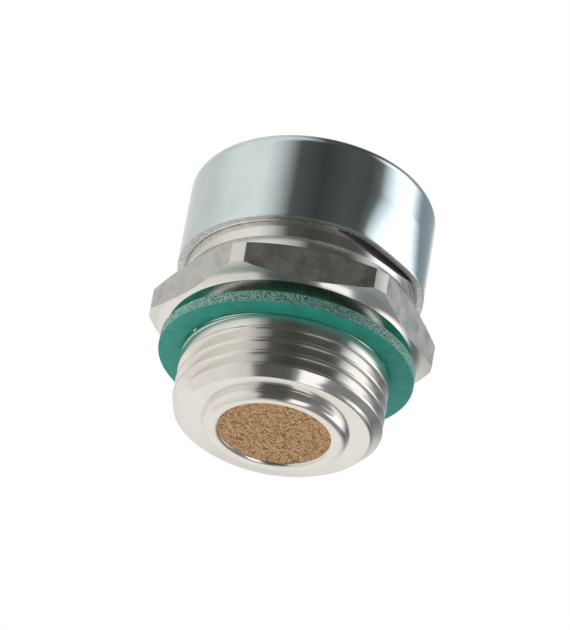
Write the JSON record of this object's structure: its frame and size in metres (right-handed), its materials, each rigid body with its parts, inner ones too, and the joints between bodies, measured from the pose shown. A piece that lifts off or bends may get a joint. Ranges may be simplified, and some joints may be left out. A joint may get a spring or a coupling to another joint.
{
  "type": "breather vent cap",
  "caption": "Screw-in breather vent with a hexagon body, a sintered filter disc, a sealing gasket and a pressed-on cap that lets air out under its rim.",
  "frame": {"origin": "centre of the lower end, on the plane of the rolled lip", "axes": "+Z along the axis, from the threaded spigot to the cap; two hexagon flats face +Y and -Y"},
  "size_m": [0.0359, 0.0322, 0.0352],
  "materials": {
    "turned_body": "bright turned",
    "sintered_bronze": "porous matte",
    "gasket_fibre": "matte pressed fibre",
    "zinc_plate": "bright zinc plate"
  },
  "bodies": {
    "root": {"body": "turned_body", "filter_disc": "sintered_bronze", "sealing_gasket": "gasket_fibre", "cap": "zinc_plate"}
  },
  "joints": []
}
